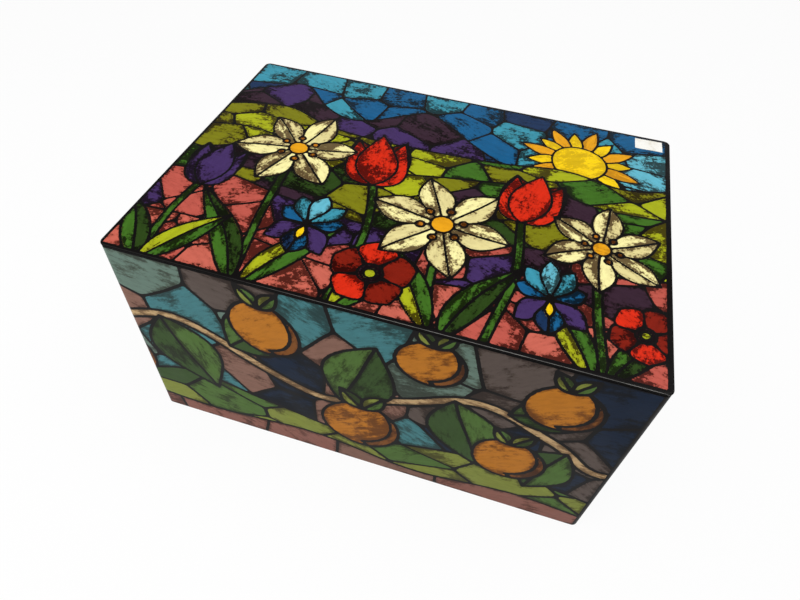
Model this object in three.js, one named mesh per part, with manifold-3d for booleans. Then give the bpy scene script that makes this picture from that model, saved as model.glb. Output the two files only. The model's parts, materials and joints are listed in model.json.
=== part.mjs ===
// A large printed tinplate box: a folded and seamed body with a flat lid on two strap hinges.
// Millimetres, +Z up. The front faces -Y, the hinges are at the back, and the origin lies on the
// ground at the middle of the footprint.

import * as THREE from 'three';
import { mergeVertices } from 'three/addons/utils/BufferGeometryUtils.js';
import Module from 'manifold-3d';

const wasm = await Module();
wasm.setup();

// Overall sizes
const lidLength = 300;
const lidDepth = 213.5;
const tinHeight = 160;
const lidCorner = 4;

// Tinplate and the way it is folded
const gauge = 0.3;
const foldGap = 0.25; // between two layers that are folded or fitted together
const bendStep = 18; // degrees of a bend in one facet

// Lid
const curlRadius = 0.6; // outside of the roll along its edge
const curlTurn = 270;
const lidOverhang = 0.2; // past the front and side walls
const lidRestGap = 0.3; // over the collar
const jointGap = 0.6; // shadow line between the curl and the walls

// Walls
const wallHemDepth = 5;
const footDepth = 3;
const footBend = 0.2;
const seamInset = 14; // from the corner to the lock seam
const seamWidth = 6;
const seamRoot = 2;
const seamNotch = 1.5; // the seam stops short of the foot and the collar
const joggleAngle = 60;
const joggleBend = 0.3;

// Base and collar
const baseBend = 0.6;
const collarDrop = 11; // below the top of the walls
const collarHemDepth = 4;

// Hinges
const hingeInset = 60; // from the end of the lid to the middle of a hinge
const strapGauge = 0.5;
const strapCorner = 4;
const strapBend = 0.75;
const pinRadius = 1;
const pinClearance = 0.1;
const pinChamfer = 0.3;
const pinReach = 1; // out of the barrel at each end
const knuckleWrap = 290;
const knuckleGap = 0.4;
const lidKnuckle = 24;
const bodyKnuckle = 12;
const bodyStrapDrop = 20; // below the pin
const lidStrapReach = 26; // in front of the pin
const trim = 2; // spare metal on a strap before it is cut to its outline

// Sizes that follow
const degree = Math.PI / 180;
const foldRadius = (gauge + foldGap) / 2;
const hem = 2 * gauge + foldGap;
const footWidth = 3 * gauge + 2 * foldGap;
const barrelRadius = pinRadius + pinClearance + strapGauge;
const knuckleRadius = barrelRadius - strapGauge / 2;
const barrelLength = lidKnuckle + 2 * (knuckleGap + bodyKnuckle);
const curl = 2 * curlRadius;
const rearReach = barrelRadius + foldGap + curl; // back of the lid's curl, behind the pin

const bodyBack = lidDepth / 2 - rearReach - barrelRadius - foldGap;
const bodyFront = lidOverhang - lidDepth / 2;
const bodyDepth = bodyBack - bodyFront;
const bodyLength = lidLength - 2 * lidOverhang;
const bodyCorner = lidCorner - lidOverhang;
const wallTop = tinHeight - curl - jointGap;

const lidStrapTop = tinHeight - gauge - foldGap;
const axisY = bodyBack + foldGap + barrelRadius;
const axisZ = lidStrapTop - strapGauge - foldGap - barrelRadius;

function polar(length, angle) {
  return new THREE.Vector2(Math.cos(angle), Math.sin(angle)).multiplyScalar(length);
}

// A line of straight runs and bends, in the order they are made. A left turn is positive.
function bentLine(start, heading, steps) {
  const at = new THREE.Vector2(...start);
  const line = [at.clone()];
  let angle = heading * degree;
  for (const { run = 0, turn = 0, radius = 0 } of steps) {
    if (run > 0) {
      at.add(polar(run, angle));
      line.push(at.clone());
    }
    const count = Math.ceil(Math.abs(turn) / bendStep);
    const centre = at.clone().add(polar(radius, angle + Math.sign(turn) * Math.PI / 2));
    for (let i = 0; i < count; i++) {
      at.rotateAround(centre, turn / count * degree);
      line.push(at.clone());
    }
    angle += turn * degree;
  }
  return line;
}

// The way to the left of a line at one of its points, longer at a bend so that faces stay parallel.
function leftOf(line, i) {
  const normals = [];
  for (const [from, to] of [[line[i - 1], line[i]], [line[i], line[i + 1]]]) {
    if (from && to) {
      const along = to.clone().sub(from).normalize();
      normals.push(new THREE.Vector2(-along.y, along.x));
    }
  }
  const [first, last = first] = normals;
  return first.clone().add(last).divideScalar(1 + first.dot(last));
}

// Counter-clockwise outline of a sheet of even thickness along a line.
function sheetOutline(line, thickness) {
  const side = (offset) => line.map((point, i) => point.clone().addScaledVector(leftOf(line, i), offset));
  return [...side(-thickness / 2), ...side(thickness / 2).reverse()];
}

// Closed skin through matching rings, with both ends filled. Section is the rings' flat outline.
function loft(rings, section) {
  const count = section.length;
  const index = [];
  for (let ring = 0; ring < rings.length - 1; ring++) {
    for (let i = 0; i < count; i++) {
      const a = ring * count + i;
      const b = ring * count + (i + 1) % count;
      index.push(a, b, a + count, b, b + count, a + count);
    }
  }
  const end = (rings.length - 1) * count;
  for (const [a, b, c] of THREE.ShapeUtils.triangulateShape(section, [])) {
    index.push(a, c, b, end + a, end + b, end + c);
  }
  const geometry = new THREE.BufferGeometry();
  const position = rings.flat().flatMap((point) => point.toArray());
  geometry.setAttribute('position', new THREE.Float32BufferAttribute(position, 3));
  geometry.setIndex(index);
  return geometry;
}

// Point of a section, given by its distance in from a track's outer line and its height.
function onTrack(track, i, { x: inset, y: height }) {
  const plan = track[i].clone().addScaledVector(leftOf(track, i), inset);
  return new THREE.Vector3(plan.x, plan.y, height);
}

// Sheet section carried along an open track.
function sweptSheet(section, track) {
  return loft(track.map((_, i) => section.map((point) => onTrack(track, i, point))), section);
}

// Tray whose edge follows a closed track: the section runs from the flat of the tray to its rim.
function pressedPan(section, track) {
  const loop = track.slice(0, -1);
  const rings = section.toReversed().map((point) => loop.map((_, i) => onTrack(track, i, point)));
  return loft(rings, loop);
}

// Outer line of a rounded rectangle, counter-clockwise from the middle of its front and back to it.
function roundedTrack(length, depth, corner) {
  const turn = { turn: 90, radius: corner };
  const half = { run: length / 2 - corner };
  const side = { run: depth - 2 * corner };
  const back = { run: length - 2 * corner };
  return bentLine([0, -depth / 2], 0, [half, turn, side, turn, back, turn, side, turn, half]);
}

function extruded(outline, depth) {
  return new THREE.ExtrudeGeometry(new THREE.Shape(outline), { depth, bevelEnabled: false });
}

function solid(geometry) {
  const bare = geometry.clone();
  bare.deleteAttribute('normal');
  bare.deleteAttribute('uv');
  const merged = mergeVertices(bare);
  const vertProperties = Float32Array.from(merged.attributes.position.array);
  const triVerts = Uint32Array.from(merged.index.array);
  return new wasm.Manifold(new wasm.Mesh({ numProp: 3, vertProperties, triVerts }));
}

function geometryOf(manifold) {
  const { vertProperties, triVerts } = manifold.getMesh();
  const geometry = new THREE.BufferGeometry();
  geometry.setAttribute('position', new THREE.BufferAttribute(vertProperties, 3));
  geometry.setIndex(new THREE.BufferAttribute(triVerts, 1));
  return geometry;
}

// One wall sheet, about the middle of the body: left side, front, and round the front right corner.
// Its foot folds up round the base's flange, its top is hemmed, and its ends hook into the other sheet.
function wallSheet() {
  const section = sheetOutline(bentLine([footWidth - gauge / 2, footDepth], -90, [
    { run: footDepth - gauge / 2 - footBend },
    { turn: -90, radius: footBend },
    { run: footWidth - gauge - 2 * footBend },
    { turn: -90, radius: footBend },
    { run: wallTop - footBend - foldRadius - gauge },
    { turn: -180, radius: foldRadius },
    { run: wallHemDepth },
  ]), gauge);

  const layer = gauge + foldGap;
  const seamY = seamInset - bodyDepth / 2;
  const cornerY = bodyCorner - bodyDepth / 2;
  const slope = joggleAngle * degree;
  const joggleRun = (3 * layer - 2 * joggleBend * (1 - Math.cos(slope))) / Math.sin(slope);
  const joggleSpan = 2 * joggleBend * Math.sin(slope) + joggleRun * Math.cos(slope);
  const startY = -seamY - joggleSpan + gauge / 2;
  const endY = seamY - layer;
  const corner = { turn: 90, radius: bodyCorner };
  const track = bentLine([-bodyLength / 2, startY], -90, [
    { run: startY - cornerY },
    corner,
    { run: bodyLength - 2 * bodyCorner },
    corner,
    { run: endY - cornerY },
  ]);

  const faceX = (bodyLength - gauge) / 2;
  const outerHook = bentLine([faceX, endY - seamRoot], 90, [
    { run: seamRoot },
    { turn: 180, radius: layer },
    { run: seamWidth },
  ]);
  const innerHook = bentLine([-faceX, startY - seamRoot], 90, [
    { run: seamRoot },
    { turn: -joggleAngle, radius: joggleBend },
    { run: joggleRun },
    { turn: joggleAngle, radius: joggleBend },
    { run: layer + seamWidth - gauge / 2 },
    { turn: 180, radius: layer },
    { run: seamWidth },
  ]);
  const seamLow = footDepth + seamNotch;
  const seamHigh = wallTop - collarDrop - seamNotch;
  let sheet = solid(sweptSheet(section, track));
  for (const hook of [outerHook, innerHook]) {
    const strip = extruded(sheetOutline(hook, gauge), seamHigh - seamLow).translate(0, 0, seamLow);
    sheet = sheet.add(solid(strip));
  }
  return geometryOf(sheet);
}

// Flat base with a flange turned down into the foot of the walls.
function basePanel() {
  const middle = gauge + foldGap + gauge / 2;
  const height = footDepth + foldGap + gauge / 2;
  const section = sheetOutline(bentLine([middle + baseBend + gauge, height], 180, [
    { run: gauge },
    { turn: 90, radius: baseBend },
    { run: height - baseBend - gauge - foldGap },
  ]), gauge);
  return pressedPan(section, roundedTrack(bodyLength, bodyDepth, bodyCorner));
}

// Strip inside the mouth on three sides, hemmed on top, that the lid's curl closes round.
function mouthCollar() {
  const inset = curl - lidOverhang + foldGap;
  const top = tinHeight - gauge - lidRestGap;
  const low = wallTop - collarDrop;
  const section = sheetOutline(bentLine([inset + gauge / 2, low], 90, [
    { run: top - low - foldRadius - gauge / 2 },
    { turn: -180, radius: foldRadius },
    { run: collarHemDepth },
  ]), gauge);
  const corner = { turn: 90, radius: bodyCorner };
  const side = { run: bodyDepth - 2 * bodyCorner };
  const front = { run: bodyLength - 2 * bodyCorner };
  const start = [-bodyLength / 2, bodyDepth / 2 - bodyCorner];
  return sweptSheet(section, bentLine(start, -90, [side, corner, front, corner, side]));
}

// Flat lid whose edge is curled under into a small roll.
function lidPanel() {
  const section = sheetOutline(bentLine([curlRadius + gauge, tinHeight - gauge / 2], 180, [
    { run: gauge },
    { turn: curlTurn, radius: curlRadius - gauge / 2 },
  ]), gauge);
  return pressedPan(section, roundedTrack(lidLength, lidDepth, lidCorner));
}

const acrossX = new THREE.Vector3(1, 0, 0);
const acrossY = new THREE.Vector3(0, 1, 0);
const acrossZ = new THREE.Vector3(0, 0, 1);

// Strip of strap metal bent along a line in the Y-Z plane, centred across the hinge.
function strapBlank(line, width) {
  return solid(extruded(sheetOutline(line, strapGauge), width + 2 * trim)
    .translate(0, 0, -width / 2 - trim)
    .applyMatrix4(new THREE.Matrix4().makeBasis(acrossY, acrossZ, acrossX)));
}

// Flat outline of a strap: square at the knuckles and rounded at its far end, which lies at -reach.
function strapOutline(width, reach) {
  const outline = new THREE.Shape();
  const half = width / 2;
  outline.moveTo(half, 2 * barrelRadius);
  outline.lineTo(-half, 2 * barrelRadius);
  outline.absarc(strapCorner - half, strapCorner - reach, strapCorner, Math.PI, 1.5 * Math.PI);
  outline.absarc(half - strapCorner, strapCorner - reach, strapCorner, 1.5 * Math.PI, 2 * Math.PI);
  return outline.getPoints();
}

// Strap up the back wall, curled back over the pin in two knuckles with the lid's between them.
function bodyStrap() {
  const line = bentLine([-knuckleRadius, -bodyStrapDrop - trim], 90, [
    { run: bodyStrapDrop + trim },
    { turn: -knuckleWrap, radius: knuckleRadius },
  ]);
  const upright = new THREE.Matrix4().makeBasis(acrossX, acrossZ, acrossY.clone().negate());
  const plate = extruded(strapOutline(barrelLength, bodyStrapDrop), 4 * barrelRadius)
    .translate(0, 0, -2 * barrelRadius)
    .applyMatrix4(upright);
  const notchDepth = 4 * barrelRadius;
  const notch = new THREE.BoxGeometry(lidKnuckle + 2 * knuckleGap, 4 * barrelRadius, notchDepth)
    .translate(0, 0, notchDepth / 2 - barrelRadius - knuckleGap);
  return geometryOf(strapBlank(line, barrelLength).intersect(solid(plate)).subtract(solid(notch)));
}

// Strap under the lid, bent down inside the rear curl and rolled forward under the pin.
function lidStrap() {
  const height = lidStrapTop - strapGauge / 2 - axisZ;
  const line = bentLine([-lidStrapReach - trim, height], 0, [
    { run: lidStrapReach + trim + knuckleRadius - strapBend },
    { turn: -90, radius: strapBend },
    { run: height - strapBend },
    { turn: -knuckleWrap, radius: knuckleRadius },
  ]);
  const plate = extruded(strapOutline(lidKnuckle, lidStrapReach), height + 4 * barrelRadius)
    .translate(0, 0, -2 * barrelRadius);
  return geometryOf(strapBlank(line, lidKnuckle).intersect(solid(plate)));
}

// Wire pin along X with chamfered ends.
function hingePin() {
  const half = barrelLength / 2 + pinReach;
  const profile = [
    [0, -half],
    [pinRadius - pinChamfer, -half],
    [pinRadius, pinChamfer - half],
    [pinRadius, half - pinChamfer],
    [pinRadius - pinChamfer, half],
    [0, half],
  ].map(([radius, height]) => new THREE.Vector2(radius, height));
  return new THREE.LatheGeometry(profile, 360 / bendStep).rotateZ(-Math.PI / 2);
}

const lidPrint = new THREE.MeshStandardMaterial({ color: 0x4a7284, roughness: 0.35, metalness: 0.1 });
const wallPrint = new THREE.MeshStandardMaterial({ color: 0x66694a, roughness: 0.4, metalness: 0.1 });
const tinplate = new THREE.MeshStandardMaterial({ color: 0xc4c0b4, roughness: 0.35, metalness: 0.9 });
const wire = new THREE.MeshStandardMaterial({ color: 0x8f8d88, roughness: 0.4, metalness: 0.9 });

function piece(name, geometry, material) {
  const mesh = new THREE.Mesh(geometry, material);
  mesh.name = name;
  return mesh;
}

const body = new THREE.Group();
body.position.y = (bodyFront + bodyBack) / 2;
const blank = wallSheet();
const backSheet = piece('back_wall_sheet', blank, wallPrint);
backSheet.rotation.z = Math.PI;
body.add(piece('front_wall_sheet', blank, wallPrint), backSheet);
body.add(piece('bottom_panel', basePanel(), tinplate));
body.add(piece('mouth_collar', mouthCollar(), tinplate));

const tin = new THREE.Group();
tin.add(body, piece('lid_panel', lidPanel(), lidPrint));

const bodyStrapShape = bodyStrap();
const lidStrapShape = lidStrap();
const pinShape = hingePin();
const hingeX = lidLength / 2 - hingeInset;
for (const [side, x] of [['left', -hingeX], ['right', hingeX]]) {
  const hinge = new THREE.Group();
  hinge.position.set(x, axisY, axisZ);
  hinge.add(piece(`${side}_body_strap`, bodyStrapShape, tinplate));
  hinge.add(piece(`${side}_lid_strap`, lidStrapShape, tinplate));
  hinge.add(piece(`${side}_hinge_pin`, pinShape, wire));
  tin.add(hinge);
}

export default tin;
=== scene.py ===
import json
from math import cos, hypot, pi, radians, sin
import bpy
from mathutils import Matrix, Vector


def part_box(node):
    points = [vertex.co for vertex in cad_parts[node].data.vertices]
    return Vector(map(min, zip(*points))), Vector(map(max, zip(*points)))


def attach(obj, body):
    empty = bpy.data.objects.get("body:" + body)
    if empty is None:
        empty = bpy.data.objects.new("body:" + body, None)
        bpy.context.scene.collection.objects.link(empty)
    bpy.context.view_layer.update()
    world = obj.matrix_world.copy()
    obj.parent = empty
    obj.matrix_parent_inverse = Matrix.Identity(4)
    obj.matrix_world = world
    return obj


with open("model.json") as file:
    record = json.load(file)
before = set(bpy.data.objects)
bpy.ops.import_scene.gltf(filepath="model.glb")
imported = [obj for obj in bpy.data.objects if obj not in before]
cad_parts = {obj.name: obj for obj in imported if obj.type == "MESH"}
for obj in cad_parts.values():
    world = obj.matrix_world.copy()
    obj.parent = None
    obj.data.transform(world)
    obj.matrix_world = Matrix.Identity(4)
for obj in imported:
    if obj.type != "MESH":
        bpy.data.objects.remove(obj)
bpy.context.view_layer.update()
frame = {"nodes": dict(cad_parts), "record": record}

from types import SimpleNamespace

import bmesh
import bpy
import numpy as np
from mathutils import Matrix, Vector

# Wall sheets, base and collar
# Cold-rolled tinplate, folded and lock-seamed with no solder. Inside it is left bare, so the grain
# of the rolls, a cloudy bloom on the tin and rubbed scratches all show.
def node(tree, kind, sockets=None, **settings):
    """Adds a shader node; each socket takes a number, a colour or another node's output."""
    made = tree.nodes.new("ShaderNode" + kind)
    for name, value in settings.items():
        setattr(made, name, value)
    for name, value in (sockets or {}).items():
        if isinstance(value, bpy.types.NodeSocket):
            tree.links.new(value, made.inputs[name])
        else:
            made.inputs[name].default_value = value
    return made


def new_finish(name):
    finish = bpy.data.materials.new(name)
    finish.use_nodes = True
    tree = finish.node_tree
    return finish, tree, tree.nodes["Principled BSDF"]


def reckon(tree, operation, first, second):
    return node(tree, "Math", {0: first, 1: second}, operation=operation).outputs[0]


def ease(tree, value, low, high, start=0.0, end=1.0):
    sockets = {"Value": value, "From Min": low, "From Max": high, "To Min": start, "To Max": end}
    return node(tree, "MapRange", sockets, interpolation_type="SMOOTHSTEP").outputs[0]


def clouds(tree, at, scale, detail=2.0, roughness=0.5, stretch=None):
    if stretch:
        at = node(tree, "Mapping", {"Vector": at, "Scale": stretch}).outputs[0]
    sockets = {"Vector": at, "Scale": scale, "Detail": detail, "Roughness": roughness}
    return node(tree, "TexNoise", sockets).outputs[0]


def lay_over(tree, amount, under, over, blend_type="MIX"):
    mixed = node(tree, "Mix", {0: amount, 6: under, 7: over}, data_type="RGBA", blend_type=blend_type)
    return mixed.outputs[2]


def relief(tree, height, depth):
    return node(tree, "Bump", {"Height": height, "Distance": depth, "Strength": 1.0}).outputs[0]


def plug(tree, shader, **outputs):
    for name, output in outputs.items():
        tree.links.new(output, shader.inputs[name.replace("_", " ")])


def tinplate_finish(name, bright, dull, grain, scuff):
    """Bare tin: grain along the rolls, a cloudy bloom, rubbed scratches and a few freckles of rust."""
    rubbed = (0.66, 0.65, 0.63, 1)
    rust = (0.20, 0.10, 0.05, 1)
    grain_depth = 0.00002
    finish, tree, shader = new_finish(name)
    at = node(tree, "TexCoord").outputs["Object"]
    rolled = clouds(tree, at, 1.0, 4.0, 0.6, grain)
    bloom = clouds(tree, at, 20.0, 8.0, 0.64)
    scratch = ease(tree, clouds(tree, at, 1.0, 3.0, 0.5, scuff), 0.70, 0.75, 0.0, 0.8)
    tone = lay_over(tree, ease(tree, bloom, 0.35, 0.68), bright, dull)
    tone = lay_over(tree, ease(tree, rolled, 0.4, 0.7, 0.0, 0.5), tone, dull)
    tone = lay_over(tree, scratch, tone, rubbed)
    freckles = ease(tree, clouds(tree, at, 260.0, 5.0, 0.7), 0.66, 0.73, 0.0, 0.7)
    tone = lay_over(tree, freckles, tone, rust)
    satin = ease(tree, bloom, 0.3, 0.7, 0.42, 0.47)
    rough = reckon(tree, "ADD", satin, reckon(tree, "MULTIPLY", rolled, 0.12))
    plug(tree, shader, Base_Color=tone, Roughness=rough, Normal=relief(tree, rolled, grain_depth))
    shader.inputs["Metallic"].default_value = 1.0
    return finish


sheet_bright = (0.43, 0.42, 0.405, 1)
sheet_dull = (0.395, 0.39, 0.38, 1)
wall_tin = tinplate_finish("wall_tinplate", sheet_bright, sheet_dull,
                           grain=(30, 30, 2600), scuff=(420, 420, 16))
flat_tin = tinplate_finish("flat_tinplate", sheet_bright, sheet_dull,
                           grain=(30, 2600, 30), scuff=(14, 520, 14))


def dress(name, finish):
    for slot in frame["nodes"][name].material_slots:
        slot.material = finish


dress("front_wall_sheet", wall_tin)
dress("back_wall_sheet", wall_tin)
dress("mouth_collar", wall_tin)
dress("bottom_panel", flat_tin)

# Printed ink on the walls
# The sheets are lithographed flat, then folded, so the ink and varnish wrap round the corners, over
# the hem and under the foot. The design is leaded glass: a fruiting branch over fields and sky.
inks = {}
plain_inks = set()  # laid flat, with little brush work
plain_work = 0.25


def mix_inks(**shades):
    """Adds inks to the palette, each given as the red, green and blue that a screen shows, up to 255."""
    for name, shade in shades.items():
        share = np.array(shade) / 255
        inks[name] = np.where(share <= 0.04045, share / 12.92, ((share + 0.055) / 1.055) ** 2.4)


mix_inks(
    dusk=(16, 32, 54), lake=(70, 128, 134), shallows=(106, 130, 118), stone=(94, 82, 76),
    umber=(138, 102, 88), moss=(80, 112, 50), fern=(54, 80, 36), field=(134, 144, 62),
    clay=(148, 98, 86), sand=(200, 168, 122), orange=(194, 122, 34), russet=(130, 78, 30),
)
lead_reach = 6.0  # furthest from a lead line that its distance is kept
dip_spread = 900  # sets the brush marks of one pane far from another's
brush = np.random.default_rng(7)
shuffle = np.random.default_rng(11)


def blank_sheet(across, up):
    """A sheet to paint on, in millimetres, with a slight waver so that lines look drawn by hand."""
    waver = 0.9 * np.sin(up / 16 + across / 41) + 0.5 * np.sin(across / 8.5 - up / 23)
    sway = 0.9 * np.sin(across / 19 - up / 37) + 0.5 * np.sin(up / 7.5 + across / 29)
    sheet = SimpleNamespace(at=np.c_[across + waver, up + sway])
    sheet.ink = np.zeros((across.size, 3))
    sheet.lead = np.full(across.size, lead_reach)
    sheet.hand = np.zeros(across.size)
    sheet.dip = np.zeros(across.size)
    sheet.worked = np.ones(across.size)
    return sheet


def gap_to(at, starts, ends):
    run = ends - starts
    gap = at[:, None, :] - starts[None]
    along = (gap * run).sum(axis=2) / np.maximum((run * run).sum(axis=1), 1e-9)
    gap -= np.clip(along, 0, 1)[:, :, None] * run
    return np.sqrt((gap * gap).sum(axis=2).min(axis=1))


def close_to(sheet, points, reach):
    low = points.min(axis=0) - reach
    high = points.max(axis=0) + reach
    return np.flatnonzero(((sheet.at > low) & (sheet.at < high)).all(axis=1))


def colour_in(sheet, chosen, ink, hand):
    sheet.ink[chosen] = inks[ink]
    sheet.lead[chosen] = lead_reach
    sheet.hand[chosen] = hand
    sheet.dip[chosen] = brush.uniform(0, dip_spread)
    sheet.worked[chosen] = plain_work if ink in plain_inks else 1.0


def lay_pane(sheet, outline, ink, hand=0.0):
    """Colours the inside of an outline and leads its edge; what was there is painted over."""
    near = close_to(sheet, outline, lead_reach)
    at = sheet.at[near]
    ends = np.roll(outline, -1, axis=0)
    level = (outline[:, 1] > at[:, 1:]) != (ends[:, 1] > at[:, 1:])
    rise = np.where(ends[:, 1] == outline[:, 1], 1e-9, ends[:, 1] - outline[:, 1])
    cross = outline[:, 0] + (at[:, 1:] - outline[:, 1]) * (ends[:, 0] - outline[:, 0]) / rise
    inside = near[(level & (at[:, :1] < cross)).sum(axis=1) % 2 == 1]
    colour_in(sheet, inside, ink, hand)
    sheet.lead[near] = np.minimum(sheet.lead[near], gap_to(at, outline, ends))
    return inside


def lay_stem(sheet, line, half, ink):
    near = close_to(sheet, line, lead_reach + half)
    away = gap_to(sheet.at[near], line[:-1], line[1:])
    run = line[-1] - line[0]
    colour_in(sheet, near[away < half], ink, np.arctan2(run[1], run[0]))
    sheet.lead[near] = np.minimum(sheet.lead[near], np.abs(away - half))


def break_up(sheet, inside, seeds, names, flat=1.0):
    """Panes round seeds: the lead lies half way between two, and fillets where three meet."""
    sharpness = 1.3
    slant = 0.7
    scale = np.array([1.0, flat])
    reach = np.sqrt((((sheet.at[inside][:, None] - seeds[None]) * scale) ** 2).sum(axis=2))
    order = np.argsort(reach, axis=1)
    rows = np.arange(len(inside))
    first = order[:, 0]
    fade = 0.0
    for other in (order[:, 1], order[:, 2]):
        apart = np.sqrt((((seeds[first] - seeds[other]) * scale) ** 2).sum(axis=1))
        gap = (reach[rows, other] ** 2 - reach[rows, first] ** 2) / (apart * (1 + flat))
        fade = fade + np.exp(-sharpness * gap)
    sheet.ink[inside] = np.array([inks[name] for name in names])[first]
    sheet.hand[inside] = brush.uniform(-slant, slant, len(seeds))[first]
    sheet.dip[inside] = brush.uniform(0, dip_spread, len(seeds))[first]
    sheet.worked[inside] = 1.0
    sheet.lead[inside] = np.minimum(sheet.lead[inside], -np.log(fade) / sharpness)


def drawn(names, count):
    return [names[k] for k in shuffle.integers(len(names), size=count)]


def strew(left, right, low, high, wide, tall):
    """Seeds for panes of about a given size, in staggered rows, each shifted a little by chance."""
    shift = 0.36
    columns, rows = round((right - left) / wide), max(1, round((high - low) / tall))
    column, row = np.meshgrid(np.arange(columns), np.arange(rows))
    u = (column + 0.25 + 0.5 * (row % 2) + shuffle.uniform(-shift, shift, column.shape)) / columns
    v = (row + 0.5 + shuffle.uniform(-shift, shift, column.shape)) / rows
    return np.c_[left + u.ravel() * (right - left), low + v.ravel() * (high - low)]


def flowing(points, steps=7):
    """Smooth line through a few set points."""
    p = np.array(points, dtype=float)
    p = np.vstack([p[:1], p, p[-1:]])
    t = (np.arange(steps) / steps)[:, None]
    runs = []
    for a, b, c, d in zip(p, p[1:], p[2:], p[3:]):
        bend = (2 * a - 5 * b + 4 * c - d) * t ** 2 + (3 * b - a - 3 * c + d) * t ** 3
        runs.append(0.5 * (2 * b + (c - a) * t + bend))
    return np.vstack(runs + [p[-1:]])


def lay_land(sheet, ridge, floor, names, wide, tall, flat=1.0):
    """Ground under a ridge line, broken up into panes."""
    line = flowing(ridge)
    ground = np.vstack([line, [[line[-1, 0], floor], [line[0, 0], floor]]])
    inside = lay_pane(sheet, ground, names[0])
    seeds = strew(line[0, 0], line[-1, 0], floor, line[:, 1].max(), wide, tall)
    break_up(sheet, inside, seeds, drawn(names, len(seeds)), flat)


def blade(base, angle, length, half, fullest, bow):
    """Left side, midrib and right side of a pointed leaf or petal."""
    t = np.linspace(0, 1, 13)
    swell = half * np.sin(np.pi * t ** (np.log(0.5) / np.log(fullest)))
    turn = radians(angle)
    along = np.array([cos(turn), sin(turn)])
    across = np.array([-sin(turn), cos(turn)])
    rib = np.array(base) + np.outer(length * t, along) + np.outer(bow * t * t, across)
    return rib + np.outer(swell, across), rib, rib - np.outer(swell, across)


def lay_leaf(sheet, light, dark, base, angle, length, half, fullest=0.45, bow=0.0):
    left, rib, right = blade(base, angle, length, half, fullest, bow)
    lay_pane(sheet, np.vstack([left, rib[::-1]]), light, radians(angle))
    lay_pane(sheet, np.vstack([rib, right[::-1]]), dark, radians(angle))


def ring_of(centre, radius, start=0, end=360, steps=24):
    turn = np.radians(np.linspace(start, end, steps, endpoint=False))
    return np.array(centre) + radius * np.c_[np.cos(turn), np.sin(turn)]


def lay_border(sheet, *gaps):
    """Black border, outside the line where the nearest of the gaps comes to nothing."""
    margin = np.minimum.reduce(gaps)
    sheet.lead = np.minimum(sheet.lead, np.maximum(margin, 0))


def paint_walls(sheet, across, up):
    everywhere = np.arange(across.size)
    seeds = strew(-346, 168, 0, 160, wide=44, tall=32)
    sky = drawn(["lake", "dusk", "lake", "umber", "dusk", "stone", "shallows", "dusk"], len(seeds))
    # Painted light and shade: sky panes turn to paler inks towards the left and deeper inks towards the
    # right, so the front is lighter on the left, as the light falls
    lit_side_paler = {"dusk": "lake", "stone": "shallows"}
    shaded_side_deeper = {"lake": "stone", "shallows": "dusk"}
    pale_end, deep_start = -70, 50
    for count, x in enumerate(seeds[:, 0]):
        change = lit_side_paler if x < pale_end else shaded_side_deeper if x > deep_start else {}
        sky[count] = change.get(sky[count], sky[count])
    break_up(sheet, everywhere, seeds, sky)
    far_field = [
        (-350, 44), (-290, 56), (-230, 42), (-180, 34), (-120, 54),
        (-60, 44), (0, 32), (60, 50), (110, 42), (172, 32),
    ]
    lay_land(sheet, far_field, 0, ["moss", "field", "moss", "fern", "field"], wide=62, tall=20, flat=1.6)
    bank = [(-350, 16), (-280, 10), (-200, 20), (-120, 12), (-40, 20), (40, 10), (110, 18), (172, 12)]
    lay_land(sheet, bank, -8, ["clay", "umber", "clay"], wide=74, tall=26)
    branch = [
        (-350, 94), (-310, 110), (-262, 86), (-214, 72), (-166, 96), (-118, 110), (-70, 88),
        (-22, 70), (26, 90), (70, 110), (112, 92), (140, 72), (172, 82),
    ]
    branch_half = 3.4
    lay_stem(sheet, flowing(branch), branch_half, "sand")
    # Leaves by their place, angle, length and half width, then fruits by their place and radius
    leaves = [
        (-300, 108, 40, 52, 17), (-246, 80, -60, 52, 18), (-206, 74, 70, 62, 22),
        (-128, 108, -70, 70, 24), (-84, 96, 44, 54, 19), (-14, 72, 66, 66, 23),
        (56, 106, -76, 66, 23), (84, 108, 24, 50, 17), (122, 84, -112, 54, 18),
    ]
    fruits = [
        (-286, 66, 22), (-168, 58, 24), (-58, 122, 22), (0, 48, 25), (38, 132, 19), (108, 126, 20),
        (92, 60, 22),
    ]
    for x, y, angle, length, half in leaves:
        lay_leaf(sheet, "moss", "fern", (x, y), angle, length, half, fullest=0.46, bow=4)
    for x, y, size in fruits:
        shade = ring_of((x - size * 0.25, y + size * 0.15), size * 1.02, 62, -88, 10)
        lay_pane(sheet, ring_of((x, y), size), "orange", 0.6)
        lay_pane(sheet, np.vstack([ring_of((x, y), size, -75, 45, 10), shade]), "russet", 1.2)
        for angle in (128, 52):
            lay_leaf(sheet, "field", "moss", (x, y + size * 0.8), angle, size * 0.9, size * 0.24)
    left, right, low, high = -339, 147.4, -1.1, 158.7
    lay_border(sheet, across - left, right - across, up - low, high - up)


def ink_the(mesh, sheet, rub_and_highlight):
    """Puts the painted sheet on a film's points, for its finish to read."""
    stroke_length, stroke_width = 8, 2.6
    x, y = sheet.at.T
    along = (x * np.cos(sheet.hand) + y * np.sin(sheet.hand)) / stroke_length
    beside = (y * np.cos(sheet.hand) - x * np.sin(sheet.hand)) / stroke_width
    stroke = np.c_[along, beside, sheet.dip]
    tint = np.c_[sheet.ink, sheet.worked]
    mesh.attributes.new("ink", "FLOAT_COLOR", "POINT").data.foreach_set("color", tint.ravel())
    mesh.attributes.new("stroke", "FLOAT_VECTOR", "POINT").data.foreach_set("vector", stroke.ravel())
    mesh.attributes.new("lead", "FLOAT", "POINT").data.foreach_set("value", sheet.lead)
    mesh.attributes.new("rub_and_highlight", "FLOAT", "POINT").data.foreach_set("value", rub_and_highlight)


bare_tin = (0.60, 0.59, 0.56, 1)
ink_relief = 0.00003


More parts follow.
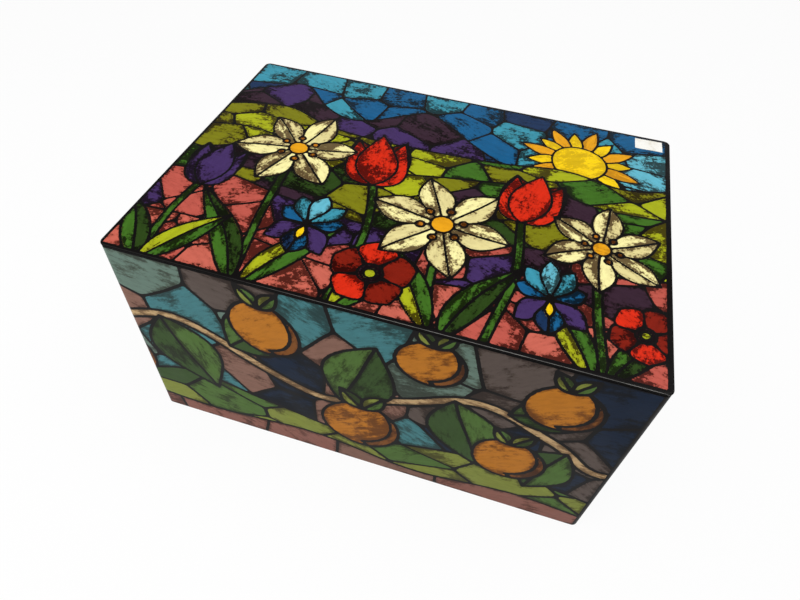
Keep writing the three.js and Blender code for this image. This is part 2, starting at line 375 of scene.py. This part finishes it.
def litho_finish(name, fleck, grain, crumble, lead_half, gloss, smooth, dull):
    """Ink in leaded panes with dabbed brush marks, under varnish, worn to bare tin on the folds."""
    streak_tint = (0.52, 0.46, 0.44, 1)
    thin_tint = (0.44, 0.36, 0.30, 1)
    dark_tint = (0.14, 0.09, 0.08, 1)
    lead_black = (0.004, 0.0032, 0.0032, 1)
    finish, tree, shader = new_finish(name)
    at = node(tree, "TexCoord").outputs["Object"]
    ink = node(tree, "Attribute", attribute_name="ink").outputs
    lead = node(tree, "Attribute", attribute_name="lead").outputs["Fac"]
    stroke = node(tree, "Attribute", attribute_name="stroke").outputs["Vector"]
    rub_and_highlight = node(tree, "Attribute", attribute_name="rub_and_highlight").outputs["Fac"]
    dabs = clouds(tree, stroke, 1.0, 7.0, 0.68)
    zone = clouds(tree, stroke, 1.0, 2.0, 0.5, (0.34, 0.12, 1))
    crumbs = clouds(tree, at, 480.0, 5.0, 0.75)
    # Streaks in the ink, then a thin wash and a dark one dabbed on in crumbling patches. Both are
    # thicker towards the leads.
    streak = ease(tree, dabs, 0.28, 0.72, 0.0, 0.35)
    tone = lay_over(tree, streak, ink["Color"], streak_tint, "MULTIPLY")
    wash = reckon(tree, "ADD", reckon(tree, "MULTIPLY", dabs, 0.6), reckon(tree, "MULTIPLY", zone, 0.9))
    wash = reckon(tree, "ADD", wash, reckon(tree, "MULTIPLY", crumbs, grain))
    wash = reckon(tree, "ADD", wash, ease(tree, lead, 0.8, 4.5, 0.12, 0.0))
    middle = 0.75 + grain / 2
    dark_level = middle + 0.115
    thin = ease(tree, wash, middle - 0.01, middle + 0.14, 0.0, 0.6)
    thin = reckon(tree, "MULTIPLY", thin, ink["Alpha"])
    tone = lay_over(tree, thin, tone, thin_tint, "MULTIPLY")
    dark = ease(tree, wash, dark_level - crumble, dark_level + crumble, 0.0, fleck)
    dark = reckon(tree, "MULTIPLY", dark, ink["Alpha"])
    tone = lay_over(tree, dark, tone, dark_tint, "MULTIPLY")
    # Lead lines of uneven width
    edge = reckon(tree, "ADD", lead, reckon(tree, "MULTIPLY", clouds(tree, at, 420.0, 3.0, 0.6), 0.7))
    leading = ease(tree, edge, lead_half + 0.22, lead_half + 0.48)
    tone = lay_over(tree, leading, lead_black, tone)
    # Bare tin where the folds are rubbed and in a few scratches
    nicks = reckon(tree, "ADD", clouds(tree, at, 900.0, 5.0, 0.7), reckon(tree, "MULTIPLY", rub_and_highlight, 0.06))
    scratch = clouds(tree, at, 1.0, 2.0, 0.4, (36, 410, 90))
    worn = reckon(tree, "MAXIMUM", ease(tree, nicks, 0.90, 0.93), ease(tree, scratch, 0.84, 0.855))
    worn = reckon(tree, "MAXIMUM", worn, ease(tree, rub_and_highlight, 0.2, 1.0, 0.0, 0.28))
    tone = lay_over(tree, worn, tone, bare_tin)
    # Varnish, a little uneven, and polished where it is rubbed
    peel = clouds(tree, at, 520.0, 2.0, 0.5)
    rough = ease(tree, clouds(tree, at, 48.0, 2.0, 0.5), 0.3, 0.7, smooth, dull)
    rough = reckon(tree, "MULTIPLY", rough, ease(tree, rub_and_highlight, 0.0, 1.0, 1.0, 0.5))
    bump = relief(tree, peel, ink_relief)
    plug(tree, shader, Base_Color=tone, Roughness=rough, Metallic=worn, Normal=bump)
    shader.inputs["Specular IOR Level"].default_value = gloss
    return finish


def seal(bm, name, finish, crease=40):
    """Turns a bmesh into a piece with its faces outward and shaded smooth up to a crease angle."""
    bmesh.ops.recalc_face_normals(bm, faces=bm.faces[:])
    mesh = bpy.data.meshes.new(name)
    bm.to_mesh(mesh)
    bm.free()
    mesh.shade_smooth()
    mesh.set_sharp_from_angle(angle=radians(crease))
    mesh.materials.append(finish)
    piece = bpy.data.objects.new(name, mesh)
    bpy.context.scene.collection.objects.link(piece)
    return piece


mm = 0.001


def corner_of(name, end):
    """Lowest or highest corner of a node, in millimetres."""
    return [round(place / mm, 2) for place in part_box(name)[end]]


wall_left, wall_front, _ = corner_of("front_wall_sheet", 0)
wall_right, wall_back, wall_top = corner_of("back_wall_sheet", 1)
wall_half_length = (wall_right - wall_left) / 2
wall_half_depth = (wall_back - wall_front) / 2
wall_middle = (wall_back + wall_front) / 2
wall_corner = 3.8
seam_start, seam_end = 9.6, 11.45  # from the end of a bend to the lock seam's two sides
hem_bend = 0.425
foot_bend = 0.35
film_back = 0.02  # off the tin, so that the film's two faces lie clear of it
film_face = 0.05
hem_wear = 0.3
hem_wear_reach = 0.25


def arc(inset, height, radius, start, end, steps):
    """Rounded stretch of a section, as distances out from a face and heights."""
    turn = np.radians(np.linspace(start, end, steps))
    return list(zip(radius * np.cos(turn) - inset, height + radius * np.sin(turn)))


def wall_film():
    """Thin closed skin over a sheet's outside: left side, front and the start of the right side."""
    flat_half = wall_half_length - wall_corner
    bend = wall_corner * pi / 2
    left_run = 2 * (wall_half_depth - wall_corner) - seam_end
    right_run = seam_start
    stops = [-flat_half - bend - left_run, -flat_half - bend, -flat_half, flat_half, flat_half + bend]
    stops.append(stops[-1] + right_run)
    cells = (165, 9, 254, 9, 9)
    rows = 142
    stations = [np.linspace(a, b, n, endpoint=False) for a, b, n in zip(stops, stops[1:], cells)]
    stations = np.concatenate(stations + [stops[-1:]])
    hem_height = wall_top - hem_bend
    section = arc(foot_bend, foot_bend, foot_bend + film_face, -60, 0, 5)[:-1]
    section += [(film_face, height) for height in np.linspace(foot_bend, hem_height, rows)]
    section += arc(hem_bend, hem_height, hem_bend + film_face, 0, 140, 8)[1:]
    section += arc(hem_bend, hem_height, hem_bend + film_back, 140, 0, 6)
    section += arc(foot_bend, foot_bend, foot_bend + film_back, 0, -60, 3)
    section.append(section[0])
    bm = bmesh.new()
    bmesh.ops.create_grid(bm, x_segments=len(stations) - 1, y_segments=len(section) - 1, size=0.5)
    across = bm.verts.layers.float.new("across")
    up = bm.verts.layers.float.new("up")
    for vert in bm.verts:
        station = stations[round((vert.co.x + 0.5) * (len(stations) - 1))]
        out, height = section[round((vert.co.y + 0.5) * (len(section) - 1))]
        side = 1 if station > 0 else -1
        past = max(abs(station) - flat_half, 0)
        turn = min(past / wall_corner, pi / 2)
        run = max(past - bend, 0)
        reach = wall_corner + out
        x = side * (min(abs(station), flat_half) + reach * sin(turn))
        y = wall_middle - wall_half_depth + wall_corner + run - reach * cos(turn)
        vert[across] = station
        vert[up] = height
        vert.co = Vector((x, y, height)) * mm
    bmesh.ops.remove_doubles(bm, verts=bm.verts[:], dist=0.001 * mm)
    bmesh.ops.holes_fill(bm, edges=[edge for edge in bm.edges if edge.is_boundary], sides=0)
    return bm


def point_values(mesh, name):
    values = np.empty(len(mesh.vertices), dtype=np.float32)
    mesh.attributes[name].data.foreach_get("value", values)
    return values.astype(float)


wall_ink = litho_finish("wall_litho", fleck=0.64, grain=0.3, crumble=0.10, lead_half=1.1,
                        gloss=0.07, smooth=0.42, dull=0.52)
front_wall_print = seal(wall_film(), "front_wall_print", wall_ink)
wall_across = point_values(front_wall_print.data, "across")
wall_up = point_values(front_wall_print.data, "up")
wall_sheet = blank_sheet(wall_across, wall_up)
paint_walls(wall_sheet, wall_across, wall_up)
hem_rub = np.exp(-np.minimum(wall_up, wall_top - wall_up) / hem_wear_reach)
ink_the(front_wall_print.data, wall_sheet, hem_rub * hem_wear)

# The back sheet is the same blank turned half round
back_mesh = front_wall_print.data.copy()
back_mesh.transform(Matrix.Translation((0, 2 * wall_middle * mm, 0)) @ Matrix.Rotation(pi, 4, "Z"))
back_wall_print = bpy.data.objects.new("back_wall_print", back_mesh)
bpy.context.scene.collection.objects.link(back_wall_print)
for print_film in (front_wall_print, back_wall_print):
    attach(print_film, "tin_body")

# Hinge straps
# Blanked from thicker tinplate and curled round the pin. Each is spot-welded to its sheet, which
# leaves ringed dimples with a straw and blue heat tint.
def weld_finish(name):
    straw = (0.42, 0.33, 0.20, 1)
    blue = (0.20, 0.22, 0.28, 1)
    pit_depth = 0.00003
    finish, tree, shader = new_finish(name)
    at = node(tree, "TexCoord").outputs["Object"]
    tint = clouds(tree, at, 300.0, 3.0, 0.6)
    tone = lay_over(tree, ease(tree, tint, 0.38, 0.62), straw, blue)
    pitted = clouds(tree, at, 1800.0, 4.0, 0.7)
    plug(tree, shader, Base_Color=tone, Roughness=ease(tree, pitted, 0.3, 0.7, 0.30, 0.55),
         Normal=relief(tree, pitted, pit_depth))
    shader.inputs["Metallic"].default_value = 1.0
    return finish


strap_bright = (0.38, 0.37, 0.36, 1)
strap_dull = (0.28, 0.28, 0.275, 1)
strap_tin = tinplate_finish("strap_tinplate", strap_bright, strap_dull,
                            grain=(900, 40, 40), scuff=(220, 30, 220))
weld_tint = weld_finish("weld_tint")
hinge_x = (corner_of("right_body_strap", 0)[0] + corner_of("right_body_strap", 1)[0]) / 2
lid_joint = frame["record"]["behaviour"]["joints"][0]
_, pin_y, pin_z = (round(place / mm, 2) for place in lid_joint["pos_m"])
strap_gauge = 0.5
lid_face = corner_of("right_lid_strap", 1)[2] - strap_gauge
body_face = corner_of("right_body_strap", 0)[1] + strap_gauge
weld_radius = 2.1
weld_height = 0.10
dimple_rings = ((0.35, 0.0), (0.45, -0.07), (0.5, 0.015))  # each one's width and its rise


def weld_marks(name, body, places, facing):
    """Ringed dimples: a low disc with a raised rim and a sunk middle, all on one strap."""
    bm = bmesh.new()
    turn = Vector((0, 0, 1)).rotation_difference(Vector(facing)).to_matrix().to_4x4()
    for place in places:
        older = set(bm.verts)
        disc = bmesh.ops.create_circle(bm, cap_ends=True, radius=weld_radius * mm, segments=28)
        face = disc["verts"][0].link_faces[0]
        top = bmesh.ops.extrude_face_region(bm, geom=[face], use_keep_orig=True)["geom"]
        verts = [part for part in top if isinstance(part, bmesh.types.BMVert)]
        crown = [part for part in top if isinstance(part, bmesh.types.BMFace)]
        bmesh.ops.translate(bm, verts=verts, vec=(0, 0, weld_height * mm))
        for width, rise in dimple_rings:
            bmesh.ops.inset_region(bm, faces=crown, thickness=width * mm, use_even_offset=True)
            inner = list({vert for part in crown for vert in part.verts})
            bmesh.ops.translate(bm, verts=inner, vec=(0, 0, rise * mm))
        fresh = [vert for vert in bm.verts if vert not in older]
        bmesh.ops.transform(bm, verts=fresh, matrix=Matrix.Translation(Vector(place) * mm) @ turn)
    piece = seal(bm, name, weld_tint, 60)
    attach(piece, body)


body_weld_columns = (-17, 0, 17)
body_weld_drops = (9, 15.5)  # below the pin
lid_weld_columns = (-6.5, 6.5)
lid_weld_reaches = (10, 20)  # in front of the pin
for side, x in (("left", -hinge_x), ("right", hinge_x)):
    dress(f"{side}_body_strap", strap_tin)
    dress(f"{side}_lid_strap", strap_tin)
    body_places = [(x + dx, body_face, pin_z - drop)
                   for dx in body_weld_columns for drop in body_weld_drops]
    lid_places = [(x + dx, pin_y - reach, lid_face)
                  for dx in lid_weld_columns for reach in lid_weld_reaches]
    weld_marks(f"{side}_body_welds", "tin_body", body_places, (0, 1, 0))
    weld_marks(f"{side}_lid_welds", "lid", lid_places, (0, 0, -1))

# Hinge pins
# Drawn steel wire, cropped to length with chamfered ends and pushed through the knuckles. It shows
# draw lines along its length and a little brown rust at the ends.
def wire_finish(name):
    steel_dark = (0.30, 0.30, 0.30, 1)
    steel_light = (0.50, 0.49, 0.48, 1)
    brown_rust = (0.14, 0.06, 0.03, 1)
    line_depth = 0.00002
    finish, tree, shader = new_finish(name)
    at = node(tree, "TexCoord").outputs["Object"]
    lines = clouds(tree, at, 1.0, 3.0, 0.6, (30, 4200, 4200))
    rust = clouds(tree, at, 240.0, 5.0, 0.7)
    tone = lay_over(tree, lines, steel_dark, steel_light)
    tone = lay_over(tree, ease(tree, rust, 0.56, 0.70, 0.0, 0.8), tone, brown_rust)
    plug(tree, shader, Base_Color=tone, Roughness=ease(tree, rust, 0.4, 0.7, 0.28, 0.65),
         Normal=relief(tree, lines, line_depth))
    shader.inputs["Metallic"].default_value = 1.0
    return finish


drawn_wire = wire_finish("drawn_wire")
dress("left_hinge_pin", drawn_wire)
dress("right_hinge_pin", drawn_wire)

# Lid and its print
# One flat sheet whose edge is curled under into a thin roll, bare underneath. Its print is a garden in
# leaded glass with a black border that runs over the edge and round the curl.
mix_inks(
    navy=(24, 48, 84), blue=(22, 90, 136), teal=(60, 146, 168), aqua=(98, 180, 200),
    cream=(244, 236, 166), shell=(224, 212, 148), scarlet=(212, 44, 20), wine=(126, 28, 14),
    yellow=(248, 208, 20), amber=(228, 160, 26), plum=(54, 34, 48), violet=(66, 46, 96),
    rose=(184, 86, 74), salmon=(194, 98, 82), peach=(220, 172, 140), green=(62, 106, 32),
    forest=(42, 66, 22), lime=(164, 172, 28), olive=(122, 122, 20), ochre=(190, 118, 26),
)
plain_inks.update(("yellow", "amber"))


def lay_petal(sheet, ink, base, angle, length, half, fullest=0.55, bow=0.0):
    left, _, right = blade(base, angle, length, half, fullest, bow)
    lay_pane(sheet, np.vstack([left, right[::-1]]), ink, radians(angle))


def paint_lily(sheet, centre, size, turn):
    for start, reach in ((60, 1.0), (0, 0.92)):
        for angle in (0, 120, 240):
            lay_leaf(sheet, "cream", "shell", centre, turn + start + angle, size * reach, size * 0.25,
                     fullest=0.56, bow=size * 0.08)
    for angle in range(30, 390, 60):
        way = radians(turn + angle)
        tip = np.array(centre) + size * 0.27 * np.array([cos(way), sin(way)])
        lay_pane(sheet, ring_of(tip, size * 0.055, steps=12), "ochre")
    lay_pane(sheet, ring_of(centre, size * 0.15, steps=16), "amber")


def paint_tulip(sheet, base, lean, size, light, dark):
    for side in (1, -1):
        lay_petal(sheet, dark, base, lean + 19 * side, size * 0.94, size * 0.22, 0.5)
    for side in (1, -1):
        lay_petal(sheet, light, base, lean + 40 * side, size * 0.86, size * 0.2, 0.42, -side * size * 0.34)
    lay_petal(sheet, light, base, lean, size, size * 0.25, 0.42)


def paint_iris(sheet, base, lean, size):
    crown = (
        (66, 0.84, "blue"), (-66, 0.84, "blue"), (33, 1.02, "teal"), (-33, 1.02, "teal"), (0, 1.1, "aqua"),
    )
    for angle, reach, ink in crown:
        lay_petal(sheet, ink, base, lean + angle, size * reach, size * 0.23, fullest=0.62)
    for side in (1, -1):
        lay_petal(sheet, "violet", base, lean + 122 * side, size * 0.96, size * 0.27,
                  fullest=0.6, bow=side * size * 0.2)
    lay_leaf(sheet, "blue", "navy", base, lean + 180, size * 0.95, size * 0.3, 0.6)
    lay_petal(sheet, "yellow", base, lean + 180, size * 0.5, size * 0.1, 0.55)


def paint_poppy(sheet, centre, size, turn):
    for petal in (0, 2, 4, 1, 3):
        ink = "scarlet" if petal % 2 else "wine"
        lay_petal(sheet, ink, centre, turn + 72 * petal, size, size * 0.46, 0.66)
    lay_pane(sheet, ring_of(centre, size * 0.28, steps=16), "plum")
    lay_pane(sheet, ring_of(centre, size * 0.14, steps=12), "lime")


def paint_lid(sheet, across, up):
    everywhere = np.arange(across.size)
    sun = (92, 60)
    sun_radius = 18
    long_ray, short_ray, ray_half = 41, 35, 5.2
    glow_top, glow_radius = 66, 56
    seeds = strew(-152, 152, 0, 108, wide=33, tall=23)
    near_sun = np.hypot(seeds[:, 0] - sun[0], seeds[:, 1] - sun[1]) < glow_radius
    low_sky = drawn(["teal", "aqua", "teal", "blue", "aqua"], len(seeds))
    high_sky = drawn(["blue", "teal", "navy", "blue", "teal"], len(seeds))
    break_up(sheet, everywhere, seeds, np.where(near_sun | (seeds[:, 1] < glow_top), low_sky, high_sky))
    for ray in range(16):
        ink, length = ("amber", long_ray) if ray % 2 else ("yellow", short_ray)
        lay_petal(sheet, ink, sun, 22.5 * ray + 8, length, ray_half, fullest=0.6)
    lay_pane(sheet, ring_of(sun, sun_radius), "yellow", 0.6)
    hills = [
        (-156, 58), (-128, 76), (-108, 86), (-84, 64), (-58, 56),
        (-30, 74), (-12, 80), (18, 58), (48, 40), (62, 28),
    ]
    lay_land(sheet, hills, 0, ["plum", "violet", "plum", "plum", "navy"], wide=36, tall=26)
    meadow = [(-156, 44), (-110, 54), (-70, 42), (-20, 36), (30, 40), (80, 48), (120, 40), (156, 50)]
    lay_land(sheet, meadow, -20, ["lime", "olive", "lime", "olive", "green"], wide=42, tall=16, flat=1.7)
    hedge = [(-156, 16), (-120, 22), (-80, 14), (-30, 6), (20, 16), (70, 24), (110, 16), (156, 22)]
    lay_land(sheet, hedge, -70, ["olive", "green", "lime", "forest", "plum"], wide=38, tall=20, flat=1.4)
    bed = [(-156, -34), (-110, -28), (-70, -38), (-20, -44), (30, -40), (80, -32), (120, -38), (156, -30)]
    lay_land(sheet, bed, -110, ["plum", "rose", "violet", "rose"], wide=36, tall=22)
    path = [(-156, -72), (-110, -70), (-60, -78), (-10, -80), (50, -74), (100, -78), (156, -68)]
    lay_land(sheet, path, -112, ["salmon", "rose", "peach", "salmon", "rose"], wide=34, tall=22)
    stem_half = 2.3
    stems = [
        [(-72, -112), (-78, -60), (-84, 4)], [(-22, -112), (-16, -60), (-28, -8)],
        [(36, -112), (26, -70), (22, -26)], [(60, -112), (67, -60), (66, -8)],
        [(120, -112), (112, -70), (112, -26)], [(-124, -112), (-129, -70), (-124, -36)],
    ]
    for points in stems:
        lay_stem(sheet, flowing(points), stem_half, "green")
    # Long leaves by their foot, angle, length, half width and bow, the darker ones first
    foot = -110
    dark_blades = [
        (-72, 116, 84, 9, 14), (40, 74, 66, 8.5, -12), (120, 64, 62, 8.5, -14), (-126, 114, 58, 8, 12),
    ]
    light_blades = [
        (-68, 68, 70, 8.5, -14), (34, 112, 72, 9, 16), (114, 112, 66, 8, 14), (-124, 70, 56, 8.5, -12),
        (-18, 66, 46, 8, -8),
    ]
    for light, dark, blades in (("green", "forest", dark_blades), ("lime", "green", light_blades)):
        for x, angle, length, half, bow in blades:
            lay_leaf(sheet, light, dark, (x, foot), angle, length, half, fullest=0.42, bow=bow)
    paint_tulip(sheet, (-28, -10), 97, 54, "scarlet", "wine")
    paint_tulip(sheet, (66, -12), 84, 50, "scarlet", "wine")
    paint_tulip(sheet, (-124, -42), 92, 44, "violet", "plum")
    paint_iris(sheet, (-50, -56), 84, 25)
    paint_iris(sheet, (88, -66), 97, 25)
    paint_poppy(sheet, (-4, -78), 24, 20)
    paint_poppy(sheet, (136, -74), 20, 60)
    paint_lily(sheet, (-84, 12), 42, 8)
    paint_lily(sheet, (21, -28), 45, -14)
    paint_lily(sheet, (113, -18), 37, 24)
    # The border is a little narrower in front on the left, as a sheet cut slightly askew has it
    left, right, high = -148.7, 147.6, 105.4
    low = across / 500 - 105
    lay_border(sheet, across - left, right - across, high - up, up - low)


lid_half_length, lid_half_depth, lid_top = corner_of("lid_panel", 1)
lid_corner = 4
lid_curl = (lid_top - corner_of("lid_panel", 0)[2]) / 2
flat_normal = 0.999


def lid_film():
    """Thin closed skin over the lid's top, drawn out from its rim round the curl and back inside."""
    core = (lid_half_length - lid_corner, lid_half_depth - lid_corner)
    flat = lid_corner - lid_curl
    bm = bmesh.new()
    cells_across, cells_up = 299, 213
    bmesh.ops.create_grid(bm, x_segments=cells_across, y_segments=cells_up, size=1)
    for vert in bm.verts:
        x = vert.co.x * (core[0] + flat)
        y = vert.co.y * (core[1] + flat)
        past_x, past_y = max(abs(x) - core[0], 0), max(abs(y) - core[1], 0)
        if past_x and past_y:
            pull = max(past_x, past_y) / hypot(past_x, past_y)
            x = (core[0] + past_x * pull) * (1 if x > 0 else -1)
            y = (core[1] + past_y * pull) * (1 if y > 0 else -1)
        vert.co = Vector((x, y, lid_top + film_face)) * mm
    section = arc(lid_curl, lid_top - lid_curl, lid_curl + film_face, 90, -120, 19)[1:]
    section += arc(lid_curl, lid_top - lid_curl, lid_curl + film_back, -120, 90, 8)
    rim = [edge for edge in bm.edges if edge.is_boundary]
    for out, height in section:
        drawn_out = bmesh.ops.extrude_edge_only(bm, edges=rim)["geom"]
        fresh = {part for part in drawn_out if isinstance(part, bmesh.types.BMVert)}
        lines = [part for part in drawn_out if isinstance(part, bmesh.types.BMEdge)]
        rim = [line for line in lines if fresh.issuperset(line.verts)]
        for vert in fresh:
            x, y = vert.co.x / mm, vert.co.y / mm
            middle = Vector((min(max(x, -core[0]), core[0]), min(max(y, -core[1]), core[1])))
            plan = middle + (Vector((x, y)) - middle).normalized() * (lid_corner + out)
            vert.co = Vector((plan.x, plan.y, height)) * mm
    bmesh.ops.contextual_create(bm, geom=rim)
    return bm


def edge_finish(name):
    """Dull black ink on the rolled edge, thin enough for the tin to gleam through where hands rub it. Its
    rubbed band of bare tin on the front shoulder is partly a painted highlight, set where the lamp's glint
    falls.
    """
    black = (0.0025, 0.0022, 0.0022, 1)
    greyed = (0.006, 0.005, 0.005, 1)
    finish, tree, shader = new_finish(name)
    at = node(tree, "TexCoord").outputs["Object"]
    rub_and_highlight = node(tree, "Attribute", attribute_name="rub_and_highlight").outputs["Fac"]
    patchy = clouds(tree, at, 90.0, 4.0, 0.6)
    tone = lay_over(tree, patchy, black, greyed)
    # Bare tin on the rubbed shoulder: partly wear, partly a painted highlight
    worn = reckon(tree, "MULTIPLY", rub_and_highlight, ease(tree, patchy, 0.3, 0.7, 0.18, 0.38))
    tone = lay_over(tree, worn, tone, bare_tin)
    rough = ease(tree, rub_and_highlight, 0.0, 1.0, 0.5, 0.16)
    bump = relief(tree, patchy, ink_relief)
    plug(tree, shader, Base_Color=tone, Roughness=rough, Metallic=worn, Normal=bump)
    shader.inputs["Specular IOR Level"].default_value = 0.03
    return finish


dress("lid_panel", flat_tin)
lid_ink = litho_finish("lid_litho", fleck=0.90, grain=0.65, crumble=0.016, lead_half=0.78,
                       gloss=0.10, smooth=0.24, dull=0.33)
lid_print = seal(lid_film(), "lid_print", lid_ink)
lid_print.data.materials.append(edge_finish("lid_edge_ink"))
for face in lid_print.data.polygons:
    face.material_index = 1 if face.normal.z < flat_normal else 0
lid_points = np.empty(len(lid_print.data.vertices) * 3, dtype=np.float32)
lid_print.data.vertices.foreach_get("co", lid_points)
lid_across, lid_up, lid_height = lid_points.reshape(-1, 3).T.astype(float) / mm
lid_sheet = blank_sheet(lid_across, lid_up)
paint_lid(lid_sheet, lid_across, lid_up)
# The curl's shoulder is rubbed to bare tin along the front, from its middle to the right: partly wear where
# hands lift the lid, partly a painted highlight that follows the overhead lamp's glint and fades to the
# left as it does
shoulder_inset, shoulder_width = 0.34, 0.09
other_wear_and_highlight = 0.1
lid_edge_gap = np.minimum(lid_half_length - np.abs(lid_across), lid_half_depth - np.abs(lid_up))
shoulder = np.exp(-((lid_edge_gap - shoulder_inset) / shoulder_width) ** 2)
shoulder = shoulder * (lid_height > lid_top - lid_curl)
front_wear_and_highlight = np.interp(lid_across, (-75, 15), (0.12, 1))
wear_and_highlight = np.where(lid_up < lid_corner - lid_half_depth, front_wear_and_highlight, other_wear_and_highlight)
ink_the(lid_print.data, lid_sheet, shoulder * wear_and_highlight)
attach(lid_print, "lid")

# Paper label
# A small blank paper label, gummed to the lid near its back right corner. The paper has yellowed
# slightly and cockled a little as the gum dried.
def paper_finish(name):
    paper = (0.86, 0.85, 0.80, 1)
    yellowed = (0.70, 0.66, 0.56, 1)
    fibre_shade = (0.62, 0.60, 0.54, 1)
    fibre_depth = 0.00003
    finish, tree, shader = new_finish(name)
    at = node(tree, "TexCoord").outputs["Object"]
    fibre = clouds(tree, at, 1.0, 4.0, 0.7, (1500, 600, 1500))
    stain = clouds(tree, at, 160.0, 4.0, 0.6)
    tone = lay_over(tree, ease(tree, stain, 0.45, 0.75), paper, yellowed)
    tone = lay_over(tree, ease(tree, fibre, 0.5, 0.8, 0.0, 0.4), tone, fibre_shade)
    plug(tree, shader, Base_Color=tone, Roughness=ease(tree, fibre, 0.3, 0.7, 0.65, 0.85),
         Normal=relief(tree, fibre, fibre_depth))
    return finish


label_middle = Vector((135.9, 97.5))
label_size = (17.9, 11.8)
label_turn = Matrix.Rotation(radians(2), 2)
label_thick = 0.11
cockle = 0.05
bm = bmesh.new()
bmesh.ops.create_grid(bm, x_segments=36, y_segments=24, size=1)
for vert in bm.verts:
    u, v = (vert.co.x + 1) / 2, (vert.co.y + 1) / 2
    lift = cockle * (1 + sin(9 * u + 2) * cos(7 * v))
    plan = label_middle + label_turn @ Vector(((u - 0.5) * label_size[0], (v - 0.5) * label_size[1]))
    vert.co = Vector((plan.x, plan.y, lid_top + film_face + label_thick + lift)) * mm
bmesh.ops.recalc_face_normals(bm, faces=bm.faces[:])
bmesh.ops.solidify(bm, geom=bm.faces[:], thickness=label_thick * mm)
paper_label = seal(bm, "paper_label", paper_finish("label_paper"), 60)
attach(paper_label, "lid")

# Floor
# Plain white studio floor that sweeps up into a low backdrop all round. To the camera and in
# reflections it is nearly white by itself, so only the tin's soft shadow shows on it.
floor_half = 3.0
backdrop_height = 1.7
sweep = 0.8
sweep_segments = 12
floor_grey = (0.80, 0.80, 0.80, 1)
own_white = 0.93
finish, tree, shader = new_finish("studio_floor")
path = node(tree, "LightPath").outputs
seen = path["Is Camera Ray"]
for kind in ("Is Glossy Ray", "Is Transmission Ray"):
    seen = reckon(tree, "MAXIMUM", seen, path[kind])
white = node(tree, "Emission", {"Color": (1, 1, 1, 1), "Strength": 1.0}).outputs[0]
paint = node(tree, "BsdfDiffuse", {"Color": floor_grey}).outputs[0]
share = reckon(tree, "MULTIPLY", seen, own_white)
shown = node(tree, "MixShader", {0: share, 1: paint, 2: white}).outputs[0]
tree.links.new(shown, tree.nodes["Material Output"].inputs["Surface"])
tree.nodes.remove(shader)
bm = bmesh.new()
bmesh.ops.create_grid(bm, x_segments=1, y_segments=1, size=floor_half)
risen = bmesh.ops.extrude_edge_only(bm, edges=bm.edges[:])["geom"]
risen = [part for part in risen if isinstance(part, bmesh.types.BMVert)]
bmesh.ops.translate(bm, verts=risen, vec=(0, 0, backdrop_height))
folds = [edge for edge in bm.edges if not edge.is_boundary]
bmesh.ops.bevel(bm, geom=folds, offset=sweep, segments=sweep_segments, profile=0.5, affect="EDGES",
                material=-1)
floor = seal(bm, "studio_floor", finish, 60)

# Light
# One broad softbox overhead, a small one low on the front left, and a dim room all round, so that
# every side has light and the lid has no glare.
def softbox(name, place, aim, width, depth, power):
    lamp = bpy.data.lights.new(name, "AREA")
    lamp.shape = "RECTANGLE"
    lamp.size = width
    lamp.size_y = depth
    lamp.energy = power
    box = bpy.data.objects.new(name, lamp)
    box.location = place
    box.rotation_euler = (Vector(aim) - Vector(place)).to_track_quat("-Z", "Y").to_euler()
    bpy.context.scene.collection.objects.link(box)


softbox("overhead_softbox", place=(0.05, -0.15, 1.35), aim=(0, -0.05, 0.1), width=2.7, depth=1.1, power=26)
softbox("left_softbox", place=(-0.7, -0.75, 0.45), aim=(-0.05, -0.1, 0.08), width=0.5, depth=0.5, power=3.3)
room_light = 0.14
world = bpy.data.worlds.new("studio_room")
world.use_nodes = True
room = world.node_tree.nodes["Background"]
room.inputs["Color"].default_value = (1, 1, 1, 1)
room.inputs["Strength"].default_value = room_light
bpy.context.scene.world = world
bpy.context.scene.view_settings.view_transform = "Standard"

# Camera
# The photograph's viewpoint, from above the front and a little to the right, close and wide.
azimuth, elevation, roll = radians(14.236), radians(48.406), radians(3.759)
eye = (0.05905, -0.28327, 0.38486)
image_width, image_height = 800, 600
focal_pixels = 588.9
middle_x, middle_y = 391, 294.4  # the pixel that the lens points at
sensor_width = 36
lens = bpy.data.cameras.new("camera")
lens.sensor_width = sensor_width
lens.lens = sensor_width * focal_pixels / image_width
lens.shift_x = (image_width / 2 - middle_x) / image_width
lens.shift_y = (middle_y - image_height / 2) / image_width
lens.clip_start = 0.01
camera = bpy.data.objects.new("camera", lens)
turn = Matrix.Rotation(azimuth, 4, "Z") @ Matrix.Rotation(pi / 2 - elevation, 4, "X")
camera.matrix_world = Matrix.Translation(eye) @ (turn @ Matrix.Rotation(roll, 4, "Z"))
bpy.context.scene.collection.objects.link(camera)
bpy.context.scene.camera = camera
